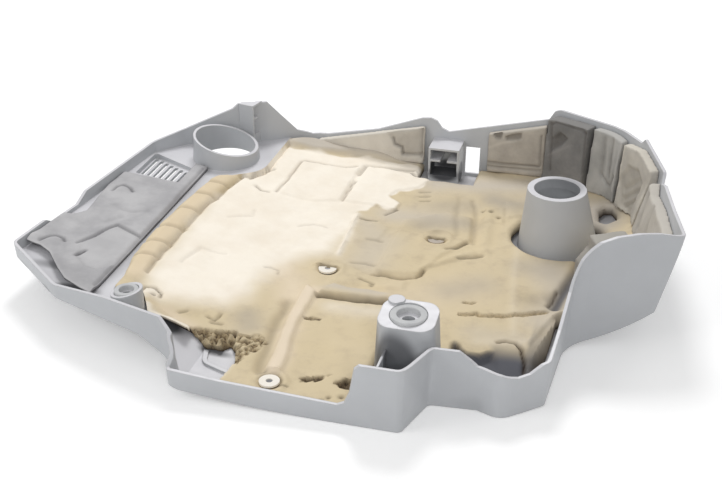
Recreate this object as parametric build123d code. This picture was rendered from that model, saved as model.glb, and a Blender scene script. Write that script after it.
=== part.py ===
from build123d import *
from math import cos, hypot, radians, sin, sqrt, tan
import os

# Engine cover lying inside up: +Z points to the engine, the outer face is down, sizes in mm
os.makedirs("parts", exist_ok=True)

# Moulding
wall = 2.8
draft = 4.0
right_lean = 14.0
lean_heights = (97.0, 80.0)
clear = 0.3
tall = 130.0
reach = 300.0

# Outer face: flat in the middle, rising to both ends
flat_left = 40.0
flat_right = 178.0
left_radius = 1050.0
left_end = -172.0
right_radius = 150.0

# Plan corners at the level of the flat middle: x, y, corner radius
outline = {
    "left_tip": (-277, -112, 7),
    "left_front": (-211, -165, 25),
    "front_diagonal": (-100, -202, 14),
    "neck": (-83, -214, 6),
    "front_left": (-88, -230, 4),
    "front_middle": (96, -229, 5),
    "front_step": (108, -189, 6),
    "block_left": (144.5, -186, 8),
    "block_front": (163, -193, 14),
    "block_right": (192.5, -167, 4),
    "right_notch": (197, -80, 30),
    "right_tip": (274, -46, 5),
    "right_back": (254, 102, 12),
    "corner_back": (209, 187, 40),
    "back_right": (148, 220, 25),
    "back_left": (-112, 218, 35),
    "box_corner": (-151, 187, 25),
    "left_back": (-228, 150, 14),
    "left_corner": (-252, 122, 10),
}

# Rim heights: corner, share of the way to the next corner, height
rim = [
    ("left_tip", 0.0, 45), ("left_front", 0.0, 43), ("left_front", 0.5, 50.5), ("front_diagonal", 0.0, 53),
    ("front_diagonal", 0.55, 47), ("neck", 0.0, 40.5), ("neck", 0.5, 33), ("front_left", 0.0, 25),
    ("front_left", 0.25, 21), ("front_left", 0.74, 17), ("front_left", 0.77, 20), ("front_left", 0.79, 29),
    ("front_left", 0.81, 52), ("front_left", 0.83, 56), ("front_middle", 0.0, 56), ("front_step", 0.0, 53),
    ("front_step", 0.6, 52.5), ("block_left", 0.0, 41), ("block_front", 0.0, 38.5),
    ("block_front", 0.35, 34), ("block_front", 0.6, 34.5), ("block_front", 0.85, 40),
    ("block_right", 0.0, 41), ("block_right", 0.4, 47), ("block_right", 0.8, 62), ("right_notch", 0.0, 84),
    ("right_notch", 0.2, 97), ("right_notch", 0.35, 101), ("right_notch", 0.56, 102.5),
    ("right_notch", 0.75, 101.5), ("right_tip", 0.0, 97), ("right_tip", 0.43, 87), ("right_tip", 0.85, 79),
    ("right_tip", 0.95, 74), ("right_back", 0.0, 82), ("right_back", 0.46, 95), ("right_back", 0.52, 89),
    ("corner_back", 0.0, 84.5), ("back_right", 0.0, 84), ("back_right", 0.02, 82), ("back_right", 0.04, 73),
    ("back_right", 0.43, 49), ("back_right", 0.46, 52.5), ("back_right", 0.48, 59.5),
    ("back_right", 0.505, 62), ("back_right", 0.54, 61), ("back_right", 0.72, 44),
    ("back_right", 0.93, 33), ("back_left", 0.0, 32),
    ("back_left", 0.35, 38), ("back_left", 0.7, 57), ("box_corner", 0.0, 74), ("box_corner", 0.35, 74),
    ("box_corner", 0.42, 69), ("left_back", 0.0, 51), ("left_corner", 0.0, 45), ("left_corner", 0.53, 45),
    ("left_corner", 0.6, 38), ("left_corner", 0.77, 39), ("left_corner", 0.81, 45),
]
rim_band_out = 22.0
rim_band_in = 15.0

# Raised shelf along the left and front-left sides
shelf_height = 29.0
shelf_slope = 1.6
shelf_edge_x = -174.0
shelf_bay_x = -134.0
shelf_bay_y = 104.0
shelf_band_x = -63.0
shelf_band_y = -176.0
shelf_band_run = 26.0
shelf_bay_near = 22.0
shelf_bay_far = 8.0
shelf_ramp = 24.0
shelf_outline = [
    (-reach, -reach, 5), (shelf_band_x, -reach, 5), (shelf_band_x, shelf_band_y, 10),
    (shelf_edge_x, shelf_band_y + shelf_band_run, 14), (shelf_edge_x, shelf_bay_y - shelf_bay_near, 22),
    (shelf_bay_x, shelf_bay_y + shelf_bay_far, 26), (shelf_bay_x, reach, 5), (-reach, reach, 5),
]

# Oil filler collar, with a slanted rim
collar_x, collar_y = -178.0, 133.0
collar_outer = 32.5
collar_wall = 2.6
collar_rim = 51.0
collar_slant = 14.0
collar_draft = 5.0

# Vent slots in a shallow recess of the shelf
vent_drop = 4.5
vent_slots = 7
vent_pitch = 6.9
vent_width = 3.9
vent_left_x = -246.0
vent_near_y = 73.0
vent_near_step = 1.3
vent_far_y = 115.0
vent_far_step = 3.8
vent_margin = 4.0
vent_corner = 3.0

# Leaning cone tower
cone_x, cone_y = 170.0, 85.0
cone_lean_x = -5.0
cone_top = 62.0
cone_base_radius = 38.0
cone_top_radius = 27.0
cone_bore = 21.0
cone_bore_length = 9.0

# Front bolt post, hollow from the outer face
post_x, post_y = 87.0, -170.0
post_width = 51.0
post_depth = 43.0
post_corner = 15.0
post_top = 65.0
post_slant = 7.0
post_draft = 3.0
post_head = 9.0
post_bore = 5.0
post_seat_radius = 14.6
post_seat_depth = 4.0
post_ring_hole = 9.0
post_lug_x, post_lug_y = 74.0, -154.5
post_lug_radius = 6.5
post_lug_top = 68.0
post_rib_width = 1.8
post_rib_height = 44.0

# Left bolt boss on the shelf
boss_x, boss_y = -143.0, -173.0
boss_radius = 13.0
boss_top = 52.0
boss_slant = 12.0
boss_head = 8.0
boss_bore = 4.0
boss_seat_radius = 10.2
boss_seat_depth = 3.5
boss_ring_hole = 6.0

# Clip boxes on the back wall
clip_wall = 2.2
clip_gap = 7.0
clip_hole = 3.0
left_clip_x, left_clip_y = -167.0, 185.0
left_clip_turn = -12.0
left_clip_width = 17.0
left_clip_depth = 26.0
left_clip_top = 75.0
left_clip_sill = 14.0
mid_clip_x = 37.0
mid_clip_width = 32.0
mid_clip_depth = 28.0
mid_clip_top = 41.0
mid_clip_sill = 11.0

# Window in the back wall
window_x = 62.5
window_width = 15.0
window_low = 6.0
window_high = 35.0

# Floor bead and foam pins
bead_width = 4.0
bead_height = 2.0
bead_bend = 8.0
bead_path = [(-75, -179), (-71, -194), (-48, -200)]
pin_places = [(-10, -213), (-18, -36), (62, 47)]
pin_radius = 2.5
pin_above = 1.2

# Foam
foam_thickness = 10.0
foam_gap = 6.0
foam_outline = [
    (-44, -235), (58, -235), (58, -146), (116, -146), (122, -150), (150, -152), (184, -150), (187, -62),
    (205, -45), (300, 40), (230, 240), (71, 240), (71, 178), (12, 178), (12, 240), (-300, 240),
    (-300, -100), (-165, -142), (-120, -157), (-92, -168), (-57, -178), (-40, -201),
]
foam_slope_left = 119.0
foam_slope_top_y = -124.0
foam_slope_foot_y = -154.0
foam_slope_foot = 1.2
foam_window = [(203, 126), (201, 148), (206, 157), (213, 155), (219, 140), (220, 126), (211, 118)]
left_pad_thickness = 5.0
left_pad_outline = [
    (-183, -158), (-184, 97), (-198, 101), (-198, 54), (-257, 60), (-260, 31), (-257, 3), (-254, -27),
    (-262, -40), (-300, -54), (-300, -92), (-258, -104), (-241, -117), (-225, -135), (-213, -147),
]

# Wall pads: start and end on the wall, (share of the way, top height) pairs, thickness
padded_corners = (
    "block_right", "right_notch", "right_tip", "right_back", "corner_back", "back_right", "back_left",
    "left_back", "left_front",
)
wall_pad_reach = 45.0
wall_pads = {
    "back_wall_pad_left": ((12, 218), (-104, 218), ((0, 54), (1, 28)), 8.0),
    "back_wall_pad_mid": ((138, 218), (79, 218), ((0, 68), (1, 54)), 8.0),
    "back_wall_pad_right": ((186, 199), (146, 221), ((0, 80), (1, 79)), 15.0),
    "corner_wall_pad": ((219, 168), (190, 197), ((0, 81), (1, 80)), 9.0),
    "right_back_pad": ((251, 107.5), (223, 161), ((0, 80), (0.5, 88), (1, 82)), 9.0),
    "right_wall_pad": ((269, -24), (254.7, 96), ((0, 84), (0.5, 78), (0.85, 70), (1, 74)), 9.0),
    "right_end_pad": ((204, -77), (240, -61), ((0, 72), (0.24, 84), (0.25, 94), (1, 95)), 19.0),
}

# Washers over the pins, rings in the bolt seats
washer_radius = 8.0
washer_thickness = 1.6
washer_gap = 0.05
ring_above = 1.0


def offset_corners(corners, inset):
    moved = []
    count = len(corners)
    for i in range(count):
        before, here, after = corners[i - 1], corners[i], corners[(i + 1) % count]
        ax, ay = here[0] - before[0], here[1] - before[1]
        bx, by = after[0] - here[0], after[1] - here[1]
        la, lb = hypot(ax, ay), hypot(bx, by)
        ax, ay, bx, by = ax / la, ay / la, bx / lb, by / lb
        turn = ax * by - ay * bx
        along = 1 + ax * bx + ay * by
        x = here[0] + inset * (-ay - by) / along
        y = here[1] + inset * (ax + bx) / along
        radius = max(here[2] - inset, 0.6) if turn > 0 else max(here[2] + inset, 0.6)
        moved.append((x, y, radius))
    return moved


def plan_face(corners, inset=0.0):
    moved = offset_corners(corners, inset)
    places, radii = [(x, y) for x, y, r in moved], [r for x, y, r in moved]
    return make_face(FilletPolyline(*places, radius=radii, close=True))


def lean_cut(inset):
    tip, back = outline["right_tip"], outline["right_back"]
    along = (back[0] - tip[0], back[1] - tip[1])
    length = hypot(*along)
    out_x, out_y = along[1] / length, -along[0] / length
    tip_rise, back_rise = lean_heights
    tip_out, back_out = tip_rise * tan(radians(draft)), back_rise * tan(radians(draft))
    rim_tip = Vector(tip[0] + out_x * tip_out, tip[1] + out_y * tip_out, tip_rise)
    rim_back = Vector(back[0] + out_x * back_out, back[1] + out_y * back_out, back_rise)
    side, depth = sin(radians(right_lean)), cos(radians(right_lean))
    down = Vector(-out_x * side, -out_y * side, -depth)
    normal = (rim_back - rim_tip).cross(down).normalized()
    normal = normal if normal.X > 0 else -normal
    face = Plane(origin=rim_tip - normal * inset, z_dir=normal)
    return extrude(face * Rectangle(4 * reach, 4 * reach), reach)


def prism(inset, names=tuple(outline)):
    plan = plan_face([outline[name] for name in names], inset)
    return extrude(plan, tall, taper=-draft) - lean_cut(inset)


def crown_z(x, lift=0.0):
    if x < flat_left:
        return left_radius - sqrt((left_radius - lift) ** 2 - (flat_left - max(x, left_end)) ** 2)
    if x > flat_right:
        return right_radius - sqrt((right_radius - lift) ** 2 - (x - flat_right) ** 2)
    return lift


def above_crown(lift):
    far_right = flat_right + 0.75 * right_radius
    mid_left, mid_right = (flat_left + left_end) / 2, (flat_right + far_right) / 2
    stations = (left_end, mid_left, flat_left, flat_right, mid_right, far_right)
    spots = [(x, crown_z(x, lift)) for x in stations]
    edges = [
        ThreePointArc(*spots[:3]), Line(*spots[2:4]), ThreePointArc(*spots[3:]),
        Polyline(spots[5], (far_right, tall + 20), (-reach, tall + 20), (-reach, spots[0][1]), spots[0]),
    ]
    return extrude(Plane.XZ * make_face(edges), reach, both=True)


def shelf_z(x, lift=0.0):
    return shelf_height + lift + (shelf_edge_x - x) * tan(radians(shelf_slope))


def below_shelf(lift):
    right, left = flat_left, -reach
    right_z, left_z = shelf_z(right, lift), shelf_z(left, lift)
    side = Polyline((left, -tall), (right, -tall), (right, right_z), (left, left_z), close=True)
    return extrude(Plane.XZ * make_face(side), reach, both=True)


def below_ramp(lift):
    foot = shelf_band_x + lift / sin(radians(shelf_ramp))
    run = tall / tan(radians(shelf_ramp))
    side = Polyline((-reach, -tall), (foot + run, -tall), (foot - run, tall), (-reach, tall), close=True)
    return extrude(Plane.XZ * make_face(side), reach, both=True)


def shelf(lift):
    return extrude(plan_face(shelf_outline, -lift), tall) & below_shelf(lift) & below_ramp(lift)


def tub(inset):
    return prism(inset) & above_crown(inset) - shelf(inset)


def rim_cutter():
    corners = [(x, y, r) for x, y, r in outline.values()]
    names = list(outline)
    outer, inner = offset_corners(corners, -rim_band_out), offset_corners(corners, rim_band_in)
    sections = []
    for name, share, height in rim + rim[:1]:
        i = names.index(name)
        j = (i + 1) % len(names)
        ox, oy = (outer[i][k] + share * (outer[j][k] - outer[i][k]) for k in (0, 1))
        ix, iy = (inner[i][k] + share * (inner[j][k] - inner[i][k]) for k in (0, 1))
        sections.append(make_face(Polyline(
            (ox, oy, height), (ix, iy, height), (ix, iy, tall + 20), (ox, oy, tall + 20), close=True)))
    return [loft([a, b], ruled=True) for a, b in zip(sections, sections[1:])]


def column(x, y, radius, low, high):
    return Pos(x, y, low) * extrude(Circle(radius), high - low)


def below_slant(x, y, height, slant_x, slant_y):
    return Pos(x, y, height) * Rot(slant_x, slant_y, 0) * Pos(0, 0, -tall) * Box(
        2 * reach, 2 * reach, 2 * tall, align=(Align.CENTER, Align.CENTER, Align.CENTER))


# Shell: tub with drafted walls, cut to its rim line
shell = tub(0) - tub(wall) - rim_cutter()
inside = prism(0) & above_crown(0)

# Vent recess and slots
vent_span = (vent_slots - 1) * vent_pitch
vent_pan = [
    (vent_left_x - vent_margin, vent_near_y - vent_margin),
    (vent_left_x + vent_span + vent_margin, vent_near_y - (vent_slots - 1) * vent_near_step - vent_margin),
    (vent_left_x + vent_span + vent_margin, vent_far_y - (vent_slots - 1) * vent_far_step + vent_margin),
    (vent_left_x - vent_margin, vent_far_y + vent_margin),
]
pan_low = shelf_z(vent_left_x) - vent_drop
pan_rounded = [(x, y, vent_corner) for x, y in vent_pan]
shell += Pos(0, 0, pan_low) * extrude(plan_face(pan_rounded, -wall), vent_drop) & inside
shell -= Pos(0, 0, pan_low + wall) * extrude(plan_face(pan_rounded), vent_drop + wall)
for k in range(vent_slots):
    near, far = vent_near_y - k * vent_near_step, vent_far_y - k * vent_far_step
    slot = SlotCenterToCenter(far - near - vent_width, vent_width, rotation=90)
    shell -= Pos(vent_left_x + k * vent_pitch, (near + far) / 2, pan_low - 1) * extrude(slot, wall + 2)

# Filler collar
collar_low = shelf_z(collar_x)
collar = Pos(collar_x, collar_y, collar_rim) * extrude(
    Circle(collar_outer), collar_low - collar_rim, taper=-collar_draft)
collar += column(collar_x, collar_y, collar_outer, collar_rim, tall)
collar &= below_slant(collar_x, collar_y, collar_rim, 0, collar_slant)
collar_hole = column(collar_x, collar_y, collar_outer - collar_wall, -10, tall)
shell = shell + collar - collar_hole

# Cone tower, open at both ends
cone_low = Plane(origin=(cone_x, cone_y, 0))
cone_high = Plane(origin=(cone_x + cone_lean_x, cone_y, cone_top))
cone_neck = Plane(origin=(cone_x + cone_lean_x, cone_y, cone_top - cone_bore_length))
cone = loft([cone_low * Circle(cone_base_radius), cone_high * Circle(cone_top_radius)])
cone_inside = loft([cone_low * Circle(cone_base_radius - wall), cone_neck * Circle(cone_bore)])
cone_hole = column(cone_x + cone_lean_x, cone_y, cone_bore, cone_top - cone_bore_length - 0.5, cone_top + 1)
shell = shell + cone - cone_inside - cone_hole

# Bolt post, hollow from the outer face
post_shape = RectangleRounded(post_width, post_depth, post_corner)
post_core_shape = RectangleRounded(post_width - 2 * wall, post_depth - 2 * wall, post_corner - wall)
post = Pos(post_x, post_y, 0) * extrude(post_shape, tall / 2 + 10, taper=post_draft)
post &= below_slant(post_x, post_y, post_top, post_slant, 0)
post += column(post_lug_x, post_lug_y, post_lug_radius, 0, post_lug_top)
post_core = Pos(post_x, post_y, -1) * extrude(post_core_shape, tall / 2 + 10, taper=post_draft)
post_core &= below_slant(post_x, post_y, post_top - post_head, post_slant, 0)
post_seat = column(post_x, post_y, post_seat_radius, post_top - post_seat_depth, tall)
post_hole = column(post_x, post_y, post_bore, -10, tall)
post_rib_y = (outline["front_middle"][1] + post_y - post_depth / 2) / 2
post_rib_length = post_y - post_depth / 2 - outline["front_middle"][1] + 4
post_rib = Pos(post_x - post_width / 4, post_rib_y, 0) * Box(
    post_rib_width, post_rib_length, post_rib_height, align=(Align.CENTER, Align.CENTER, Align.MIN))
shell = shell + post + (post_rib & prism(wall / 2)) - post_core - post_seat - post_hole

# Bolt boss on the shelf
boss_low = shelf_z(boss_x)
boss = column(boss_x, boss_y, boss_radius, boss_low, tall)
boss &= below_slant(boss_x, boss_y, boss_top, 0, -boss_slant)
boss_core = column(boss_x, boss_y, boss_radius - wall, boss_low - 5, tall) & below_slant(
    boss_x, boss_y, boss_top - boss_head, 0, -boss_slant)
boss_seat = column(boss_x, boss_y, boss_seat_radius, boss_top - boss_seat_depth, tall)
boss_hole = column(boss_x, boss_y, boss_bore, -10, tall)
shell = shell + boss - boss_core - boss_seat - boss_hole

# Left clip box, its mouth to the right
left_clip_low = shelf_z(left_clip_x)
left_clip_high = left_clip_top - left_clip_low
box_low = (Align.CENTER, Align.CENTER, Align.MIN)
left_clip = Box(left_clip_width, left_clip_depth, left_clip_high, align=box_low)
left_mouth_high = left_clip_high - left_clip_sill - clip_wall
left_mouth = Pos(clip_wall, 0, left_clip_sill) * Box(
    left_clip_width, left_clip_depth - 2 * clip_wall, left_mouth_high, align=box_low)
left_ledge_z = left_clip_sill + (left_clip_high - left_clip_sill) / 2
left_ledge = Pos(0, 0, left_ledge_z) * Box(left_clip_width, left_clip_depth, clip_wall, align=box_low)
left_ledge -= Pos(0, 0, left_ledge_z) * Box(2 * left_clip_width, clip_gap, 4 * clip_wall)
left_clip = left_clip - left_mouth + left_ledge
left_clip -= column(0, 0, clip_hole, left_clip_sill + clip_wall, tall)
left_clip = Pos(left_clip_x, left_clip_y, left_clip_low) * Rot(0, 0, left_clip_turn) * left_clip
shell += left_clip & prism(wall / 2)

# Middle clip box, its mouth to the front
back_wall_y = outline["back_right"][1]
mid_clip_y = back_wall_y - mid_clip_depth / 2
mid_clip = Pos(0, wall, 0) * Box(mid_clip_width, mid_clip_depth + 2 * wall, mid_clip_top, align=box_low)
mid_mouth = Pos(0, -clip_wall - wall, mid_clip_sill) * Box(
    mid_clip_width - 2 * clip_wall, mid_clip_depth, mid_clip_top - mid_clip_sill - clip_wall, align=box_low)
mid_ledge_z = mid_clip_sill + (mid_clip_top - mid_clip_sill) / 2
mid_ledge = Pos(0, 0, mid_ledge_z) * Box(mid_clip_width, mid_clip_depth, clip_wall, align=box_low)
mid_ledge -= Pos(0, 0, mid_ledge_z) * Box(clip_gap, 2 * mid_clip_depth, 4 * clip_wall)
mid_clip = Pos(mid_clip_x, mid_clip_y, 0) * (mid_clip - mid_mouth + mid_ledge)
shell += mid_clip & prism(wall / 2)

# Window beside the middle clip box
shell -= Pos(window_x, back_wall_y, window_low) * Box(
    window_width, 8 * wall, window_high - window_low, align=box_low)

# Floor bead
bead = extrude(trace(FilletPolyline(*bead_path, radius=bead_bend), bead_width), tall / 2)
shell += bead & above_crown(wall / 2) - above_crown(wall + bead_height)

# Foam lies on the floor, its underside and top follow the outer face
foam_low = wall + clear
foam_high = foam_low + foam_thickness


def foam_top(x, radius):
    return max(crown_z(x - radius, foam_high), crown_z(x + radius, foam_high))


# Pins that hold the foam
for x, y in pin_places:
    shell += column(x, y, pin_radius, crown_z(x) + wall / 2, foam_top(x, 0) + pin_above)

cover_shell = shell

# Main foam pad
main_foam_pad = extrude(make_face(Polyline(*foam_outline, close=True)), tall)
main_foam_pad = main_foam_pad & prism(foam_low) & above_crown(foam_low) - above_crown(foam_high)
main_foam_pad -= extrude(plan_face(shelf_outline, -foam_low), tall)
main_foam_pad -= column(cone_x, cone_y, cone_base_radius + foam_gap, -10, tall)
main_foam_pad -= extrude(make_face(Polyline(*foam_window, close=True)), tall)
foam_slope = Polyline(
    (foam_slope_top_y, foam_high), (foam_slope_foot_y, foam_low + foam_slope_foot),
    (foam_slope_foot_y, tall), (foam_slope_top_y, tall), close=True)
main_foam_pad -= Pos(foam_slope_left, 0, 0) * extrude(Plane.YZ * make_face(foam_slope), reach)
for x, y in pin_places:
    main_foam_pad -= column(x, y, pin_radius + clear, -10, tall)

# Left foam pad on the shelf
left_foam_pad = extrude(make_face(Polyline(*left_pad_outline, close=True)), tall)
left_foam_pad &= prism(foam_low) & below_shelf(foam_low + left_pad_thickness) - below_shelf(foam_low)


# Wall pads: a layer inside the wall, over the span between two points
def wall_pad(start, end, tops, thickness):
    along = (end[0] - start[0], end[1] - start[1])
    length = hypot(*along)
    face = Plane(origin=(start[0], start[1], 0), x_dir=(*along, 0), z_dir=(along[1], -along[0], 0))
    top_line = [(share * length, height) for share, height in reversed(tops)]
    front = make_face(Polyline((0, 0), (length, 0), *top_line, close=True))
    layer = prism(foam_low) - prism(foam_low + thickness, padded_corners)
    return extrude(face * front, wall_pad_reach, both=True) & layer & above_crown(foam_high + clear)


# Push-on washers over the pins
washer = extrude(Circle(washer_radius) - Circle(pin_radius + clear / 2), washer_thickness)
retaining_washers = [Pos(x, y, foam_top(x, washer_radius) + washer_gap) * washer for x, y in pin_places]


# Rubber rings in the bolt seats
def seat_ring(x, y, low, radius, hole, height):
    ring = extrude(Circle(radius) - Circle(hole), height)
    return Pos(x, y, low) * fillet(ring.edges().group_by(Axis.Z)[-1], height / 5)


post_ring_radius = post_seat_radius - clear
boss_ring_radius = boss_seat_radius - clear
post_seat_z = post_top - post_seat_depth
boss_seat_z = boss_top - boss_seat_depth
front_grommet = seat_ring(
    post_x, post_y, post_seat_z, post_ring_radius, post_ring_hole, post_seat_depth + ring_above)
left_grommet = seat_ring(
    boss_x, boss_y, boss_seat_z, boss_ring_radius, boss_ring_hole, boss_seat_depth + ring_above)

nodes = {
    "cover_shell": cover_shell,
    "main_foam_pad": main_foam_pad,
    "left_foam_pad": left_foam_pad,
    "front_grommet": front_grommet,
    "left_grommet": left_grommet,
}
nodes.update({name: wall_pad(*pad) for name, pad in wall_pads.items()})
nodes.update({"retaining_washer_%d" % (i + 1): w for i, w in enumerate(retaining_washers)})

# The origin lies under the middle of the cover
box = cover_shell.bounding_box()
to_origin = Pos(-box.center().X, -box.center().Y, -box.min.Z)
for name, solid in nodes.items():
    placed = to_origin * solid
    export_step(placed, "parts/%s.step" % name)
    print(name, placed.is_valid, len(placed.solids()), round(placed.volume), placed.bounding_box())
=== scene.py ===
import math

import bpy
import numpy as np
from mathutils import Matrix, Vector


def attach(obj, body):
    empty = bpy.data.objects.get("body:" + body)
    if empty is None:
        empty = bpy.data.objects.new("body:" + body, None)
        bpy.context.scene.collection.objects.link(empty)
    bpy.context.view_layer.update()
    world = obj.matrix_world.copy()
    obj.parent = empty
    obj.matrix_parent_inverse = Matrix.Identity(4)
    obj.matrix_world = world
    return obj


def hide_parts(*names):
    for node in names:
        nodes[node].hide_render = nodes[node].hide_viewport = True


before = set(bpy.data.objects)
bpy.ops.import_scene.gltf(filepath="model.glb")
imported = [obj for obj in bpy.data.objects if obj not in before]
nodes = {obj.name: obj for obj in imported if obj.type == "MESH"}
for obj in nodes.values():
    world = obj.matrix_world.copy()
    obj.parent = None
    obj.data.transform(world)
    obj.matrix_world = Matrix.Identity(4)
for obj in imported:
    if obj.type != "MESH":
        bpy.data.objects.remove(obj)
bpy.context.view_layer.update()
print("frame loaded, nodes:", len(nodes))

mm = 0.001
tiny, far = 1e-9, 1e6  # keeps a division from zero; lies past every point
planShift = np.array([-0.2287, 3.7422, 0.0])  # place in the frame of the plan's origin, mm

# the moulded tub that carries every pad, mm and degrees
tub = {
    "flatLeft": 40.0, "flatRight": 178.0, "leftRadius": 1050.0, "leftEnd": -172.0, "rightRadius": 150.0,
    "rightShare": 0.98,  # share of the right arc that is used, short of its upright end
    "shelfHeight": 29.0, "shelfSlope": 1.6, "shelfEdge": -174.0, "rampFoot": -63.0, "rampAngle": 24.0,
    "outline": [
        (-277, -112, 7), (-211, -165, 25), (-100, -202, 14), (-83, -214, 6), (-88, -230, 4), (96, -229, 5),
        (108, -189, 6), (144.5, -186, 8), (163, -193, 14), (192.5, -167, 4), (197, -80, 30), (274, -46, 5),
        (254, 102, 12), (209, 187, 40), (148, 220, 25), (-112, 218, 35), (-151, 187, 25), (-228, 150, 14),
        (-252, 122, 10),
    ],
    "shelfLine": [
        (-300, -300, 5), (-63, -300, 5), (-63, -176, 10), (-174, -150, 14), (-174, 82, 22), (-134, 112, 26),
        (-134, 300, 5), (-300, 300, 5),
    ],
    "cone": (170.0, 85.0, 44.0),
    "pins": [(-10, -213), (-18, -36), (62, 47)],
}


def crownHeight(x, lift):
    # flat in the middle, a circle arc on the left and one on the right, all at lift above the outer face
    leftIn = np.clip(tub["flatLeft"] - np.maximum(x, tub["leftEnd"]), 0, None)
    rightIn = np.clip(x - tub["flatRight"], 0, tub["rightShare"] * (tub["rightRadius"] - lift))
    left = tub["leftRadius"] - np.sqrt((tub["leftRadius"] - lift) ** 2 - leftIn ** 2)
    right = tub["rightRadius"] - np.sqrt((tub["rightRadius"] - lift) ** 2 - rightIn ** 2)
    return np.where(x < tub["flatLeft"], left, right)


def shelfHeight(x, lift):
    # a plane that rises to the left
    return tub["shelfHeight"] + lift + (tub["shelfEdge"] - x) * math.tan(math.radians(tub["shelfSlope"]))


def roundedLine(corners, inset=0.0, steps=8, leastRadius=0.6):
    # corners moved inwards along their bisectors, each then a parabola between its two tangent points
    here = np.array(corners, float)
    before, after = np.roll(here, 1, 0), np.roll(here, -1, 0)
    a = here[:, :2] - before[:, :2]
    b = after[:, :2] - here[:, :2]
    a /= np.linalg.norm(a, axis=1, keepdims=True)
    b /= np.linalg.norm(b, axis=1, keepdims=True)
    along = 1 + (a * b).sum(1)
    turn = a[:, 0] * b[:, 1] - a[:, 1] * b[:, 0]
    normal = np.stack([-a[:, 1] - b[:, 1], a[:, 0] + b[:, 0]], 1)
    moved = here[:, :2] + inset * normal / along[:, None]
    radius = np.maximum(here[:, 2] - inset * np.sign(turn), leastRadius)
    reach = (radius * np.abs(turn) / along)[:, None]
    start, end = moved - a * reach, moved + b * reach
    s = np.linspace(0, 1, steps)[None, :, None]
    arcs = (1 - s) ** 2 * start[:, None] + 2 * s * (1 - s) * moved[:, None] + s ** 2 * end[:, None]
    return arcs.reshape(-1, 2)


def segmentDistance(x, y, a, b):
    # distance to the segment a-b
    ex, ey = b[0] - a[0], b[1] - a[1]
    share = np.clip(((x - a[0]) * ex + (y - a[1]) * ey) / (ex * ex + ey * ey + tiny), 0, 1)
    return np.hypot(x - a[0] - share * ex, y - a[1] - share * ey)


def lineDistance(x, y, path):
    # shortest distance to an open line of points
    best = np.full(np.shape(x), far)
    for a, b in zip(path, path[1:]):
        best = np.minimum(best, segmentDistance(x, y, a, b))
    return best


def areaDistance(x, y, corners):
    # shortest distance to a closed line, negative inside it by the even-odd rule
    best = np.full(np.shape(x), far)
    inside = np.zeros(np.shape(x), bool)
    for a, b in zip(corners, np.roll(corners, -1, 0)):
        best = np.minimum(best, segmentDistance(x, y, a, b))
        crosses = (a[1] > y) != (b[1] > y)
        inside ^= crosses & (x < (b[0] - a[0]) * (y - a[1]) / (b[1] - a[1] + tiny) + a[0])
    return np.where(inside, -best, best)


def smoothStep(value, low, high):
    # 0 up to low, 1 from high on, and three t squared less two t cubed between them
    t = np.clip((value - low) / (high - low), 0, 1)
    return t * t * (3 - 2 * t)


def ramp(value, start, change, low, high):
    # start, plus change by a smooth step from low to high
    return start + change * smoothStep(value, low, high)


def bell(distance, width):
    # 1 at no distance, and e to minus the square of distance over width
    return np.exp(-(distance / width) ** 2)


def softNoise(x, y, size, seed):
    # random values from -1 to 1 on a square lattice, blended by a smooth step in both directions
    count, away = 128, 500.0  # lattice size, and a shift that keeps places above zero
    table = np.random.default_rng(seed).uniform(-1, 1, (count, count))
    u, v = x / size + away, y / size + away
    i, j = np.floor(u).astype(int), np.floor(v).astype(int)
    f, g = u - i, v - j
    f, g = f * f * (3 - 2 * f), g * g * (3 - 2 * g)
    i, after = i % count, (i + 1) % count
    near, beyond = (table[i, k % count] * (1 - f) + table[after, k % count] * f for k in (j, j + 1))
    return near * (1 - g) + beyond * g


def noiseSum(x, y, waves):
    # soft noise in layers: height, size and seed of each
    return sum(height * softNoise(x, y, size, seed) for height, size, seed in waves)


def pitNoise(x, y, size, seed):
    # distance to the nearest of one random point in each lattice square, as a share of the square
    count, away = 64, 300.0
    shift = np.random.default_rng(seed).uniform(0, 1, (count, count, 2))
    u, v = x / size + away, y / size + away
    i, j = np.floor(u).astype(int), np.floor(v).astype(int)
    best = np.full(np.shape(x), far)
    for di in (-1, 0, 1):
        for dj in (-1, 0, 1):
            spot = shift[(i + di) % count, (j + dj) % count]
            best = np.minimum(best, np.hypot(i + di + spot[..., 0] - u, j + dj + spot[..., 1] - v))
    return np.clip(best, 0, 1)


def linearColour(text):
    # sRGB hex to the linear values that the shaders take
    parts = [int(text[i:i + 2], 16) / 255 for i in (1, 3, 5)]
    return tuple(c / 12.92 if c <= 0.04045 else ((c + 0.055) / 1.055) ** 2.4 for c in parts) + (1.0,)


def addNode(tree, kind, values=None, links=None, give=0, **settings):
    # one node with its settings, fixed values and links; gives back one of its outputs
    node = tree.nodes.new("ShaderNode" + kind)
    for name, value in settings.items():
        setattr(node, name, value)
    for name, value in (values or {}).items():
        node.inputs[name].default_value = value
    for name, source in (links or {}).items():
        tree.links.new(source, node.inputs[name])
    return node.outputs[give] if node.outputs else None


def newMaterial(name):
    # a material with an empty tree of nodes
    material = bpy.data.materials.new(name)
    material.use_nodes = True
    material.node_tree.nodes.clear()
    return material, material.node_tree


def noisyMaterial(name, noises):
    # a material with its place on the piece and noises there: size in mm, detail, roughness
    material, tree = newMaterial(name)
    made = {"place": addNode(tree, "TexCoord", give="Object")}
    for key, (size, detail, roughness) in noises.items():
        values = {"Scale": 1 / (size * mm), "Detail": detail, "Roughness": roughness}
        made[key] = addNode(tree, "TexNoise", values, {"Vector": made["place"]})
    return material, tree, made


def closeMaterial(tree, values, links):
    # the surface and the output
    surface = addNode(tree, "BsdfPrincipled", values, links)
    addNode(tree, "OutputMaterial", links={"Surface": surface})


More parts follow.
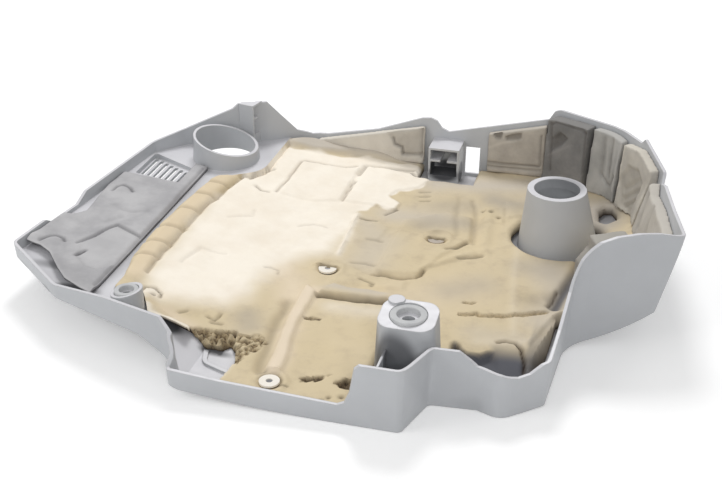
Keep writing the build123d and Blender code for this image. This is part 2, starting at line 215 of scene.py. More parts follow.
def newObject(name, data):
    # an object that is in the scene
    made = bpy.data.objects.new(name, data)
    bpy.context.scene.collection.objects.link(made)
    return made


def storeValues(mesh, attributes):
    # one number per point under each name, for the shaders
    for key, value in attributes.items():
        mesh.attributes.new(key, "FLOAT", "POINT").data.foreach_set("value", value.astype(np.float32))


def meshObject(name, points, faces, attributes, sharpAngle=48.0):
    # points in plan mm; faces are rows of four indices
    mesh = bpy.data.meshes.new(name)
    mesh.from_pydata(((points + planShift) * mm).tolist(), [], faces.tolist())
    mesh.polygons.foreach_set("use_smooth", np.ones(len(mesh.polygons), bool))
    storeValues(mesh, attributes)
    mesh.set_sharp_from_angle(angle=math.radians(sharpAngle))
    mesh.update()
    return newObject(name, mesh)


def padMesh(name, step, limits, edge, shape):
    # a square grid cut to edge(x, y) < 0, its rim drawn onto the line by slope steps; shape gives top, bottom
    # and attributes, and walls close the rim
    rimPasses, probe, leastSlope = 3, 0.25, 0.3
    xs = np.arange(limits[0], limits[1], step)
    ys = np.arange(limits[2], limits[3], step)
    gx, gy = np.meshgrid(xs, ys, indexing="ij")
    keep = edge(gx[:-1, :-1] + step / 2, gy[:-1, :-1] + step / 2) < 0
    count = np.zeros(gx.shape, int)
    for di in (0, 1):
        for dj in (0, 1):
            count[di:di + keep.shape[0], dj:dj + keep.shape[1]] += keep
    rim = (count > 0) & (count < 4)
    px, py = gx[rim], gy[rim]
    for turn in range(rimPasses):
        dx = (edge(px + probe, py) - edge(px - probe, py)) / (2 * probe)
        dy = (edge(px, py + probe) - edge(px, py - probe)) / (2 * probe)
        size = np.maximum(np.hypot(dx, dy), leastSlope)
        move = np.clip(edge(px, py), -step, step) / size
        px, py = px - move * dx / size, py - move * dy / size
    gx[rim], gy[rim] = px, py
    used = count > 0
    index = np.full(gx.shape, -1)
    index[used] = np.arange(used.sum())
    x, y = gx[used], gy[used]
    top, bottom, attributes = shape(x, y)
    total = len(x)
    a, b, c, d = index[:-1, :-1], index[1:, :-1], index[1:, 1:], index[:-1, 1:]
    upper = np.stack([a[keep], b[keep], c[keep], d[keep]], 1)
    lower = upper[:, ::-1] + total
    framed = np.pad(keep, 1)
    sides = []
    for first, second, ni, nj in ((a, b, 0, -1), (b, c, 1, 0), (c, d, 0, 1), (d, a, -1, 0)):
        beside = framed[1 + ni:1 + ni + keep.shape[0], 1 + nj:1 + nj + keep.shape[1]]
        bare = keep & ~beside
        p, q = first[bare], second[bare]
        sides.append(np.stack([p, p + total, q + total, q], 1))
    points = np.concatenate([np.stack([x, y, top], 1), np.stack([x, y, bottom], 1)])
    doubled = {key: np.concatenate([value, value]) for key, value in attributes.items()}
    # the bottom copy is marked under, for painted shade on the sides and the underside
    doubled["under"] = np.concatenate([np.zeros(total), np.ones(total)])
    return meshObject(name, points, np.concatenate([upper, lower] + sides), doubled)


def atLeast(skin, key, amount):
    # the greater of what is there and amount
    skin[key] = np.maximum(skin[key], amount)


def pressLines(x, y, skin, marks, sootShare=1.0):
    # a bell across each line, with painted shade in it: line, half width, depth, darkness
    for path, width, depth, dark in marks:
        gap = lineDistance(x, y, path)
        skin["lift"] -= depth * bell(gap, width)
        atLeast(skin, "soot", dark * bell(gap, sootShare * width))


def raiseSpots(x, y, skin, marks):
    # a bell around each place, with painted shade on it: place, radius, height, darkness
    for spotX, spotY, radius, height, dark in marks:
        mask = bell(np.hypot(x - spotX, y - spotY), radius)
        skin["lift"] += height * mask
        atLeast(skin, "soot", dark * mask)


# main foam pad, plan mm. Waves are height, size and seed of soft noise, and limits are the grid's ends. Other
# pairs are a place or where a smooth step starts and ends, and other groups of four are a ramp unless noted.
# Some lines are shared: the torn lip, the bite in the dust and two folds
tornLip = [(-141, -148), (-133, -161), (-128, -170), (-121, -171), (-112, -172), (-103, -174)]
creamBite = [(20, 152), (2, 139), (-3, 125), (12, 111), (10, 97), (-9, 100)]
creamFold = [(-22, 77), (-19, 30), (-17, -5)]
longFold = [(135, 84), (141, 11), (148, -41), (158, -95)]
mainFoam = {
    "step": 1.5, "limits": (-174, 268, -230, 224), "low": 3.1, "high": 13.1, "thinnest": 1.2, "rounding": 5.0,
    "edgeDrop": 3.2, "shelfReach": (-4.6, -3.2), "rampGap": 3.6, "pinHole": 3.0, "sootShare": 0.8,
    "waves": [(0.7, 38, 11), (0.55, 15, 12), (0.2, 6, 13)],
    "grooveWaves": ([(0.8, 9, 15)], [(0.8, 9, 16)]),
    "tintWaves": (0.2, 1.2, 22),  # height and size as shares of a tint's half width, and seed
    "outline": [
        (-44, -235), (58, -235), (58, -146), (116, -146), (122, -150), (150, -152), (184, -150), (187, -62),
        (205, -45), (252, -12), (238, 112), (230, 240), (71, 240), (71, 178), (12, 178), (12, 240),
        (-300, 240), (-300, -100), (-165, -142), (-149, -146), *tornLip, (-95, -176), (-90, -176),
        (-92, -168), (-86, -170), (-79, -175), (-71, -175), (-64, -173), (-59, -167), (-52, -174),
        (-47, -184), (-46, -200), (-48, -219),
    ],
    "ragged": {"middle": (-60, -185), "fade": (30, 50), "waves": [(1.2, 7, 3), (0.8, 3, 4)]},
    "window": [(203, 126), (201, 148), (206, 157), (213, 155), (219, 140), (220, 126), (211, 118)],
    "windowShade": (211, 138, 24, 0.4),  # place, radius, darkness
    # the torn front left edge, which curls up past the shelf's step; open is the lift of its underside
    "lip": {
        "area": [(-146, -142), *tornLip, (-95, -176), (-88, -178), (-58, -190), (-50, -165), (-84, -150)],
        "line": [*tornLip, (-90, -176)], "rise": 6.5, "run": 13.0, "open": 15.0, "end": (86, 91),
    },
    # the roll along the shelf's edge: how far it leans over, its line and the cuts across it
    "roll": {
        "over": [(-160, 90), (-172, 74), (-177.5, 23), (-181, -19), (-182, -44), (-181.5, -66), (-177.5, -93),
                 (-171, -119), (-160, -122)],
        "line": [(-164, -116), (-168.5, -66), (-169, -40), (-168.5, -10), (-165.5, 40), (-160, 98)],
        "cuts": [((-184, -90), (-157, -83)), ((-185, -37), (-156, -27)), ((-181, 37), (-153, 43)),
                 ((-184, -66), (-157, -57)), ((-182, 5), (-158, 8)), ((-175, 66), (-152, 70))],
        "width": 9.0, "height": 2.6, "waves": [(0.25, 26, 14)], "firm": 0.5, "pale": 0.8,
        "cutWidth": 2.2, "cutDepth": 1.9, "cutDark": 0.25,
    },
    # where the foam starts to hang over each pin and its washer, in y from the pin, and its form around them
    "hoods": [40.0, 0.6, -2.4],
    "washerSeat": {
        "level": (7.5, 15), "sink": 0.6, "sinkRun": (8, 10), "swell": (1.6, 1.2, 0, 8), "swellRadius": 12.5,
        "swellWidth": 3.2, "ring": (0.2, 0.45, -2, 6), "ringRadius": 8.6, "ringWidth": 1.4,
        "hoodWaves": [(0.6, 4, 25)], "hoodRun": 2.0, "hoodReach": (9, 17),
        "hoodHeight": 4.4, "hemDark": 0.7, "hemShift": 0.8, "hemWidth": 1.6, "hemReach": (7, 10),
    },
    # the front right corner: what parts its hollow, hump and flap in x, and how each falls and darkens with
    # painted shade in y
    "corner": {
        "lean": 0.35, "leanFrom": 122, "parting": (141, 149), "hollowStart": (110, 114),
        "flapStart": (169, 173), "flapShade": (0.35, 0.6, 96, 140),
        "edge": 114, "edgeSteps": [(13, 111, 126), (-11, 133, 150)], "edgeWaves": [(0.8, 5, 24)],
        "hollow": {"depth": 8.5, "fall": (0, 6), "dark": (-0.5, 3)},
        "hump": {"depth": 9.0, "fall": (108, 150), "dark": (106, 130)},
        "flap": {"depth": 7.0, "fall": (100, 150), "dark": (62, 96)},
    },
    "wallGap": {
        "line": [(183, -42), (185, -26), (190, 0), (193, 25), (196, 54), (201, 75)],
        "depth": 6.0, "width": 4.5, "dark": (0.9, -0.6, 20, 55), "darkWidth": (5.5, -2.0, 0, 30),
    },
    "border": {"back": (187, 15, -105, -50), "run": 7, "end": (-40, 0), "height": 6.0, "dark": 0.14,
               "darkStart": (-128, -116)},
    "dust": {"waves": [(3.0, 12, 21)], "blur": (16.5, -15.0, 10, 70)},
    # torn cells; pits are share, stretch in x and y, size and seed
    "cells": {
        "edgeWaves": [(1.8, 6, 17), (1.2, 2.8, 18)], "edge": (-0.8, 1.2),
        "warp": ([(2.2, 5, 27)], [(3.2, 6, 28)]),
        "pits": [(0.6, 1.5, 0.8, 5.6, 19), (0.4, 1.0, 1.0, 2.9, 26)], "relief": (0.3, 0.8, -0.62, -0.17),
        "rough": [(0.4, 3.4, 20)], "darkPits": (-0.45, -0.2), "dark": 0.85, "paleDark": 0.6,
        "bits": (0.35, 0.6),
    },
    "knife": {"edgeWaves": [(0.5, 5, 23)], "core": 0.55, "even": 0.75, "rough": [(0.25, 4, 20)], "torn": 0.9,
              "bits": 0.3},
    # line, half width, depth, darkness of the painted shade in the groove
    "grooves": [
        ([(-156, -109), (-158, -83), (-158, -56), (-157, -25), (-156, 28), (-153, 46), (-152, 65),
          (-146, 104)], 2.2, 3.0, 0.35),
        ([(-107, 85), (-106, 159), (-102, 166), (-63, 172), (-52, 179)], 1.5, 2.0, 0.42),
        ([(-44, 145), (-44, 99)], 1.8, 2.0, 0.4),
        ([(-45, 162), (-43, 183), (-19, 188), (7, 193)], 3.0, 3.0, 0.4),
        ([(-27, 186), (-12, 184), (6, 185), (14, 178)], 2.6, 4.0, 0.6),
        ([(-17, 70), (-1, 71)], 1.3, 1.8, 0.7),
        ([(3, 86), (12, 100)], 1.4, 1.5, 0.55),
        ([(24, 144), (33, 147)], 1.6, 1.5, 0.4),
        ([(26, 135), (35, 138)], 1.6, 1.5, 0.4),
        ([(28, 126), (37, 129)], 1.6, 1.5, 0.4),
        ([(-129, 87), (-121, 80), (-114, 81)], 1.8, 2.4, 0.5),
        ([(-140, 98), (-135, 118), (-126, 130)], 2.4, 2.0, 0.3),
        ([(-130, 15), (-111, 29), (-113, 41)], 1.8, 1.0, 0.1),
        ([(-66, 31), (-55, 41), (-41, 39)], 1.8, 1.0, 0.16),
        ([(-138, -79), (-132, -48), (-109, -48)], 2.2, 1.2, 0.12),
        ([(-71, -52), (-66, -50), (-58, -52), (-56, -59)], 1.4, 1.2, 0.3),
        ([(-13, -80), (-1, -78), (10, -78), (21, -76), (30, -73), (52, -72)], 2.8, 4.2, 0.72),
        ([(23, -31), (29, -27), (39, -29), (50, -29), (59, -26), (62, -20), (63, -11)], 2.0, 3.6, 0.62),
        ([(63, -11), (77, 5), (92, 17)], 3.0, 1.0, 0.12),
        ([(74, 31), (83, 37), (91, 50)], 1.5, 2.2, 0.65),
        ([(88, 19), (98, 24), (108, 31)], 2.4, 2.4, 0.55),
        ([(79, 139), (90, 100), (96, 50)], 2.6, 1.6, 0.2),
        ([(64, 142), (70, 98), (78, 60)], 3.0, 1.2, 0.16),
        ([(-2, -15), (10, -12), (18, -14)], 2.0, 1.5, 0.3),
        ([(1, 30), (14, 30)], 2.2, 1.2, 0.25),
        ([(14, -44), (27, -48)], 1.6, 1.6, 0.5),
        ([(-34, -100), (-33, -130), (-29, -160), (-26, -186), (-23, -200)], 5.0, 3.0, 0.34),
        ([(-21, -206), (-17, -203)], 3.0, 2.0, 0.6),
        ([(-4, -215), (4, -214)], 1.6, 1.6, 0.6),
        ([(-146, -151), (-151, -141), (-149, -129), (-141, -126), (-134, -131), (-132, -138)],
         1.5, 3.4, 0.62),
        ([(177, -41), (179, -27), (181, -15)], 1.6, 2.6, 0.7),
        ([(181, 54), (187, 45), (192, 50)], 1.8, 2.0, 0.55),
        ([(146, -108), (152, -105), (160, -106), (167, -113), (171, -127), (174.5, -150)], 1.6, 4.5, 0.95),
        ([(180, -133), (187, -106), (190, -84)], 3.4, 5.0, 0.85),
        ([(-109, -150), (-105, -145)], 1.6, 2.0, 0.5),
        ([(-87, -145), (-80, -148), (-78, -138)], 1.6, 2.0, 0.5),
        ([(-81, -152), (-73, -151)], 2.0, 2.0, 0.45),
    ],
    # line, half width, height
    "ridges": [
        (creamFold, 1.8, 2.2),
        ([(65, -8), (78, 11), (98, 33)], 4.0, 1.8),
        ([(-24, -30), (-12, -30)], 3.0, 2.0),
        ([(100, 118), (103, 78), (108, 40)], 5.0, 1.8),
        (longFold, 4.0, 0.9),
        ([(171, -104), (177, -83), (183, -62), (189, -52)], 3.0, 2.8),
        ([(176, -123), (182, -96), (188, -66)], 2.6, 3.0),
    ],
    # closed area, height, width of its slope
    "panels": [
        ([(-104, 84), (-104, 160), (-60, 169), (-47, 175), (-46, 96), (-70, 84)], 1.6, 3.0),
        ([(-41, 97), (-41, 180), (10, 189), (27, 172), *creamBite], 1.8, 2.0),
        ([(22, -24), (50, -23), (62, -18), (74, 20), (92, 55), (85, 100), (60, 105), (24, 80)], 2.4, 5.0),
        ([(-14, -78), (-11, -68), (-5, -60), (8, -63), (26, -60), (52, -62), (52, -70), (10, -75), (-3, -77)],
         3.8, 4.0),
        ([(-27, -68), (-27, -96), (-26, -124), (-22, -154), (-19, -182), (-19, -200), (-5, -202), (-7, -179),
          (-12, -155), (-15, -130), (-15, -102), (-15, -78)], 3.4, 3.6),
        ([(-10, -56), (54, -50), (54, -36), (20, -34), (-8, -20)], 2.0, 6.0),
        ([(118, 110), (138, 118), (134, 150), (112, 146)], 1.6, 4.0),
        ([(-18, 66), (14, 62), (10, 30), (-16, 20)], 1.4, 5.0),
        ([(94, 128), (112, 130), (116, 96), (96, 92)], 1.5, 4.0),
    ],
    # place, radius, height, darkness of the painted shade in the dent
    "spots": [
        (40, 67, 15, -2.2, 0.12), (93, 88, 12, -0.8, 0.1), (176, -28, 8, -2.0, 0.3),
        (163, -36, 13, -1.5, 0.25), (101, 115, 2.2, -3.0, 0.8), (110, 107, 2.0, -3.0, 0.8),
        (93, 118, 1.6, -2.0, 0.6), (-139, -137, 2.4, -3.4, 0.9), (115, -121, 3.0, -3.4, 0.9),
        (26, -50, 2.0, -2.0, 0.6), (60, 57, 7, -0.5, 0.3), (38, -217, 1.8, -2.0, 0.8),
        (34, -221, 1.4, -1.6, 0.7), (47, -214, 2.0, -2.2, 0.8),
    ],
    # closed area of torn foam, depth, share of pale bits, darkness of the painted shade in it
    "tears": [
        ([(-90, -172), (-91, -166), (-82, -161), (-69, -158), (-57, -157), (-56, -172), (-63, -182),
          (-85, -184)], 5.2, 0.55, 0.0),
        ([(-57, -158), (-45, -159), (-37, -154), (-31, -161), (-33, -175), (-39, -187), (-43, -198),
          (-52, -192), (-58, -172)], 3.2, 0.95, 0.0),
        ([(8, -200), (17, -204), (25, -198), (31, -190), (22, -193), (15, -196)], 5.5, 0.0, 0.6),
        ([(38, -199), (40, -191), (47, -189), (54, -192), (54, -202), (44, -204)], 6.0, 0.0, 0.6),
        ([(-14, -117), (-8, -116), (0, -116), (-5, -122)], 2.8, 0.1, 0.4),
    ],
    # straight cuts that show brown foam: line, half width, depth
    "cuts": [
        ([(110, -75), (117, -74), (122, -70)], 3.2, 3.6), ([(109, -55), (114, -56), (117, -53)], 1.9, 2.6),
        ([(125, -73), (141, -69), (157, -63), (177, -53)], 3.6, 4.0),
    ],
    # tints of the skin by their name: line, half width, amount
    "tints": {
        "pink": [
            ([(-21, -73), (-21, -99), (-20, -127), (-17, -154), (-13, -180), (-12, -200)], 8.0, 0.95),
            ([(-62, -40), (-44, -62), (-34, -84)], 18.0, 0.6), ([(-120, -156), (-96, -166)], 8.0, 0.6),
            ([(60, -60), (110, -30)], 26.0, 0.3),
        ],
        "grey": [
            ([(-8, -66), (40, -64)], 7.0, 0.8),
            ([(-135, 192), (-112, 204), (-60, 212), (0, 212)], 12.0, 1.0),
            ([(40, 170), (130, 186)], 22.0, 0.9), ([(-10, 60), (12, 30), (10, -8)], 22.0, 0.6),
            ([(12, 87), (52, 92)], 20.0, 0.75), ([(205, 112), (200, 150), (216, 160)], 20.0, 1.0),
            ([(150, 160), (190, 150)], 26.0, 0.8), ([(170, 20), (190, -20), (178, -70)], 22.0, 0.75),
            ([(130, -100), (180, -100)], 16.0, 0.45),
        ],
        "yellow": [
            ([(84, 148), (89, 108), (96, 67), (102, 34)], 7.0, 0.75),
            ([(111, 108), (113, 78), (115, 46)], 5.0, 0.6), ([(20, -130), (40, -190)], 34.0, 0.35),
            ([(80, -10), (100, -60)], 22.0, 0.45), ([(22, -52), (36, -50)], 5.0, 0.9),
        ],
        # the pale lines along the cream fold and along the lip are painted highlights
        "pale": [
            (longFold, 4.0, 0.14), (creamFold, 3.0, 0.9),
            ([(-133, -160), (-128, -168), (-121, -169.5), (-112, -170.5), (-103, -172.5), (-91, -174.5)],
             3.2, 1.0),
            ([(-143, -149), (-147, -138), (-143, -131)], 5.0, 0.9), ([(4, -93), (44, -89)], 11.0, 0.5),
            ([(-48, -219), (-45, -198)], 2.5, 0.5), ([(130, -112), (165, -104)], 6.0, 0.2),
        ],
        "dusk": [
            ([(99, 146), (116, 139)], 19.0, 0.8), ([(49, 78), (78, 84)], 16.0, 0.6),
            ([(49, 121), (80, 129)], 18.0, 0.5), ([(93, -38), (116, -23)], 20.0, 0.5),
            ([(150, 20), (172, 16)], 18.0, 0.55), ([(-51, -146), (-58, -132)], 12.0, 0.6),
        ],
    },
    # closed area of the dusty cream face
    "cream": [
        (-157, -112), (-157, -25), (-156, 28), (-152, 65), (-146, 104), (-136, 130), (-134, 165), (-127, 184),
        (-116, 187), (-86, 193), (-55, 201), (0, 205), (20, 196), (28, 172), *creamBite, (-23, 79), (-20, 30),
        (-24, -5), (-46, -22), (-58, -40), (-66, -64), (-66, -90), (-70, -108), (-80, -121), (-96, -128),
        (-114, -136), (-138, -142),
    ],
}


def mainFoamEdge(x, y):
    # inside the cut outline and the tub wall, outside the shelf, the cone, the window and the pins
    low, ragged = mainFoam["low"], mainFoam["ragged"]
    coneX, coneY, coneRadius = tub["cone"]
    edge = areaDistance(x, y, np.array(mainFoam["outline"], float))
    tornX, tornY = ragged["middle"]
    nearTear = 1 - smoothStep(np.hypot(x - tornX, y - tornY), *ragged["fade"])
    edge = edge + noiseSum(x, y, ragged["waves"]) * nearTear
    edge = np.maximum(edge, areaDistance(x, y, roundedLine(tub["outline"], low)))
    offShelf = -areaDistance(x, y, roundedLine(tub["shelfLine"], -low))
    for over in (mainFoam["lip"]["area"], mainFoam["roll"]["over"]):
        offShelf = np.minimum(offShelf, areaDistance(x, y, np.array(over, float)))
    edge = np.maximum(edge, offShelf)
    edge = np.maximum(edge, coneRadius - np.hypot(x - coneX, y - coneY))
    edge = np.maximum(edge, -areaDistance(x, y, np.array(mainFoam["window"], float)))
    for (pinX, pinY), start in zip(tub["pins"], mainFoam["hoods"]):
        hole = mainFoam["pinHole"] - np.hypot(x - pinX, y - pinY)
        edge = np.maximum(edge, np.minimum(hole, pinY + start - y))
    return edge


def foldFoam(x, y, skin):
    # a flat-topped bell along the shelf with its cuts, which get painted shade, panels with sloped edges, and
    # ridges that are bells
    roll = mainFoam["roll"]
    skin["band"] = np.exp(-(lineDistance(x, y, roll["line"]) / roll["width"]) ** 4)
    skin["lift"] += roll["height"] * skin["band"] * (1 + noiseSum(x, y, roll["waves"]))
    for a, b in roll["cuts"]:
        cut = bell(segmentDistance(x, y, a, b), roll["cutWidth"])
        skin["lift"] -= roll["cutDepth"] * cut
        atLeast(skin, "soot", roll["cutDark"] * cut)
    for area, height, slope in mainFoam["panels"]:
        skin["lift"] += height * smoothStep(-areaDistance(x, y, area), -slope / 2, slope / 2)
    for path, width, height in mainFoam["ridges"]:
        skin["lift"] += height * bell(lineDistance(x, y, path), width)


def sinkCorner(x, y, skin):
    # the front right corner falls by smooth steps of y: hollow, hump and flap side by side, parted by smooth
    #     # steps of x, each darkened by painted shade as it falls; then a bell along the right wall and a
    #     patch by the window, both with painted shade
    corner, gap = mainFoam["corner"], mainFoam["wallGap"]
    leaning = smoothStep(x + corner["lean"] * (y + corner["leanFrom"]), *corner["parting"])
    flap = smoothStep(x, *corner["flapStart"])
    hollow = smoothStep(x, *corner["hollowStart"]) * (1 - leaning)
    hump = (1 - flap) * leaning
    edgeLine = corner["edge"] + noiseSum(x, y, corner["edgeWaves"])
    for size, start, end in corner["edgeSteps"]:
        edgeLine = edgeLine + size * smoothStep(x, start, end)
    for key, mask, distance, shade in (("hollow", hollow, -y - edgeLine, 1.0), ("hump", hump, -y, 1.0),
                                       ("flap", flap, -y, ramp(-y, *corner["flapShade"]))):
        sunk = corner[key]
        skin["lift"] -= sunk["depth"] * mask * smoothStep(distance, *sunk["fall"])
        skin["slate"] += shade * mask * smoothStep(distance, *sunk["dark"])
    away = lineDistance(x, y, gap["line"])
    skin["lift"] -= gap["depth"] * bell(away, gap["width"])
    atLeast(skin, "slate", ramp(y, *gap["dark"]) * bell(away, ramp(y, *gap["darkWidth"])))
    shadeX, shadeY, radius, dark = mainFoam["windowShade"]
    atLeast(skin, "slate", dark * bell(np.hypot(x - shadeX, y - shadeY), radius))


def pressFoam(x, y, skin):
    # grooves along lines that wander by soft noise, and round spots
    wanderX, wanderY = (at + noiseSum(x, y, waves) for at, waves in zip((x, y), mainFoam["grooveWaves"]))
    pressLines(wanderX, wanderY, skin, mainFoam["grooves"], mainFoam["sootShare"])
    raiseSpots(x, y, skin, mainFoam["spots"])


def tearFoam(x, y, skin):
    # torn cells: pits drawn out across the tear, warped so that they don't read as beads, with painted shade
    # in the pits; then straight cuts
    cells, knife = mainFoam["cells"], mainFoam["knife"]
    wander = noiseSum(x, y, cells["edgeWaves"])
    warpX, warpY = (at + noiseSum(x, y, waves) for at, waves in zip((x, y), cells["warp"]))
    pits = sum(share * pitNoise(alongX * warpX, alongY * warpY, size, seed)
               for share, alongX, alongY, size, seed in cells["pits"])
    relief = ramp(-pits, *cells["relief"]) + noiseSum(x, y, cells["rough"])
    darkPits = smoothStep(-pits, *cells["darkPits"])
    for area, depth, pale, dark in mainFoam["tears"]:
        mask = smoothStep(-areaDistance(x, y, area) + wander, *cells["edge"])
        skin["lift"] -= mask * depth * relief
        pitShade = (cells["dark"] - cells["paleDark"] * pale) * darkPits
        atLeast(skin, "soot", mask * np.maximum(dark, pitShade))
        atLeast(skin, "torn", mask)
        atLeast(skin, "bits", mask * pale * smoothStep(pits, *cells["bits"]))
    for path, width, depth in mainFoam["cuts"]:
        gap = lineDistance(x, y, path) + noiseSum(x, y, knife["edgeWaves"])
        mask = 1 - smoothStep(gap, knife["core"] * width, width)
        skin["lift"] -= depth * mask * (knife["even"] + noiseSum(x, y, knife["rough"]))
        atLeast(skin, "torn", knife["torn"] * mask)
        atLeast(skin, "bits", knife["bits"] * mask)


def seatPins(x, y, skin):
    # around each pin: level and sunk under the washer, a swollen ring that is a bell of the radius, and
    #     # behind a smooth step of y a hood of foam over the washer; painted shade on the ring and under the
    #     hood's edge
    washer = mainFoam["washerSeat"]
    for (pinX, pinY), start in zip(tub["pins"], mainFoam["hoods"]):
        gap, behind = np.hypot(x - pinX, y - pinY), y - pinY
        lift = skin["lift"] * smoothStep(gap, *washer["level"])
        lift -= washer["sink"] * (1 - smoothStep(gap, *washer["sinkRun"]))
        lift += ramp(behind, *washer["swell"]) * bell(gap - washer["swellRadius"], washer["swellWidth"])
        ring = ramp(behind, *washer["ring"]) * bell(gap - washer["ringRadius"], washer["ringWidth"])
        hood = smoothStep(behind + noiseSum(x, y, washer["hoodWaves"]), start, start + washer["hoodRun"])
        hood = hood * (1 - smoothStep(gap, *washer["hoodReach"]))
        skin["lift"] = lift * (1 - hood) + washer["hoodHeight"] * hood
        hem = washer["hemDark"] * bell(behind - start - washer["hemShift"], washer["hemWidth"])
        hem = hem * (1 - smoothStep(gap, *washer["hemReach"]))
        atLeast(skin, "soot", np.maximum(ring * (1 - hood), hem))


def mainFoamShape(x, y):
    # the slab's top plus what the five functions above add, then its border, curled lip and rounded edge
    low, high, rounding = mainFoam["low"], mainFoam["high"], mainFoam["rounding"]
    border, lip, dust = mainFoam["border"], mainFoam["lip"], mainFoam["dust"]
    skin = {key: np.zeros_like(x) for key in ("soot", "torn", "bits", "slate")}
    skin["lift"] = noiseSum(x, y, mainFoam["waves"])
    for change in (foldFoam, sinkCorner, pressFoam, tearFoam, seatPins):
        change(x, y, skin)
    lift, band = skin.pop("lift"), skin.pop("band")
    # the back left border climbs the wall and stays grey
    climb = smoothStep(y - ramp(x, *border["back"]), 0, border["run"]) * (1 - smoothStep(x, *border["end"]))
    lift += border["height"] * climb
    atLeast(skin, "slate", border["dark"] * climb * smoothStep(x, *border["darkStart"]))
    curl = (1 - smoothStep(lineDistance(x, y, lip["line"]), 0, lip["run"])) * smoothStep(-x, *lip["end"])
    lift += lip["rise"] * curl
    inside = np.clip(-mainFoamEdge(x, y), 0, rounding)
    soft = (1 - curl) * (1 - mainFoam["roll"]["firm"] * band)
    lift -= mainFoam["edgeDrop"] * (1 - inside / rounding) ** 2 * soft
    # pale dust reaches its line sharply at the back and fades out to the front
    creamGap = noiseSum(x, y, dust["waves"]) - areaDistance(x, y, mainFoam["cream"])
    cream = smoothStep(creamGap / ramp(y, *dust["blur"]), -1, 1)
    skin.update(cream=cream, roll=mainFoam["roll"]["pale"] * band, grey=climb)
    wander, size, seed = mainFoam["tintWaves"]
    for name, marks in mainFoam["tints"].items():
        skin.setdefault(name, np.zeros_like(x))
        for path, width, amount in marks:
            gap = lineDistance(x, y, path) + wander * width * softNoise(x, y, size * width, seed)
            atLeast(skin, name, amount * bell(gap, width))
    # the underside lies on the crown, on the ramp and on the shelf, and lifts off under the lip
    bottom = crownHeight(x, low) + curl * lip["open"]
    onShelf = smoothStep(-areaDistance(x, y, roundedLine(tub["shelfLine"])), *mainFoam["shelfReach"])
    onRamp = (tub["rampFoot"] - x) * math.tan(math.radians(tub["rampAngle"])) + mainFoam["rampGap"]
    bottom = bottom + onShelf * np.maximum(np.minimum(shelfHeight(x, low), onRamp) - bottom, 0)
    top = np.maximum(crownHeight(x, high) + lift, bottom + mainFoam["thinnest"])
    return top, bottom, skin


# left foam pad on the shelf, written like the main one
leftPad = {
    "step": 1.5, "limits": (-282, -176, -172, 106), "low": 3.1, "high": 8.1, "thinnest": 1.4, "rounding": 3.5,
    "edgeDrop": 1.6, "wallGap": 1.0, "skin": "#A9A8AA", "pale": "#BFBEBF", "soot": "#47464A",
    "waves": [(0.6, 34, 31), (0.3, 14, 32)],
    "outline": [
        (-183, -162), (-184, 97), (-198, 101), (-198, 54), (-257, 60), (-260, 31), (-257, 3), (-254, -27),
        (-262, -40), (-300, -54), (-300, -92), (-259, -104), (-245, -113), (-225, -136), (-212, -149),
        (-193, -159),
    ],
    "panel": [
        (-229, -85), (-224, -70), (-219, -54), (-214, -45), (-201, -52), (-185, -59), (-185, -112),
        (-190, -119), (-196, -125), (-208, -121), (-220, -110),
    ],
    "panelRun": (-1.5, 1.5), "panelDepth": 1.2, "panelPale": 0.45,
    # the front edge lifts off the shelf with a painted highlight along it, and the pad's left corner rises a
    # little more
    "frontEdge": [(-272, -98), (-259, -104), (-245, -113), (-225, -136), (-212, -149), (-193, -159)],
    "frontGap": 5.0, "frontRun": 20.0, "frontRise": 1.6, "frontPale": 0.8, "frontWorn": 1.6,
    "cornerRise": 3.5, "cornerLeft": (252, 274), "cornerFront": (-104, -90), "cornerBack": (-40, -24),
    # line, half width, depth, darkness of the painted shade in the groove
    "grooves": [
        ([(-232, -88), (-224, -70), (-219, -54), (-214, -45), (-201, -52), (-186, -59)], 1.5, 1.8, 0.55),
        ([(-223, -108), (-220, -97)], 1.7, 2.4, 0.8),
        ([(-220, -110), (-208, -121), (-196, -125), (-190, -119), (-189, -108)], 2.6, 0.8, 0.1),
        ([(-234, -10), (-222, -16), (-211, -18), (-200, -12)], 3.0, 1.2, 0.14),
        ([(-227, -44), (-218, -31)], 3.0, 0.8, 0.1),
        ([(-263, -97), (-260, -92), (-258, -87), (-254, -83), (-247, -85), (-243, -90)], 1.5, 2.6, 0.62),
        ([(-248, 16), (-248, 25), (-244, 31), (-235, 26), (-229, 19)], 1.5, 2.6, 0.62),
        ([(-186, 90), (-184.5, 10), (-184.5, -150)], 1.6, 1.6, 0.35),
    ],
    "domes": [(-239, 18, 9, 2.6, 0.0), (-252, -93, 9, 2.4, 0.0)],  # place, radius, height, darkness
    "shades": [((-212, -140), (-196, -150), 12.0, 0.16), ((-236, -124), (-222, -134), 9.0, 0.2)],
}


def leftPadEdge(x, y):
    # inside the cut outline and the tub wall
    edge = areaDistance(x, y, np.array(leftPad["outline"], float))
    return np.maximum(edge, areaDistance(x, y, roundedLine(tub["outline"], leftPad["wallGap"])))


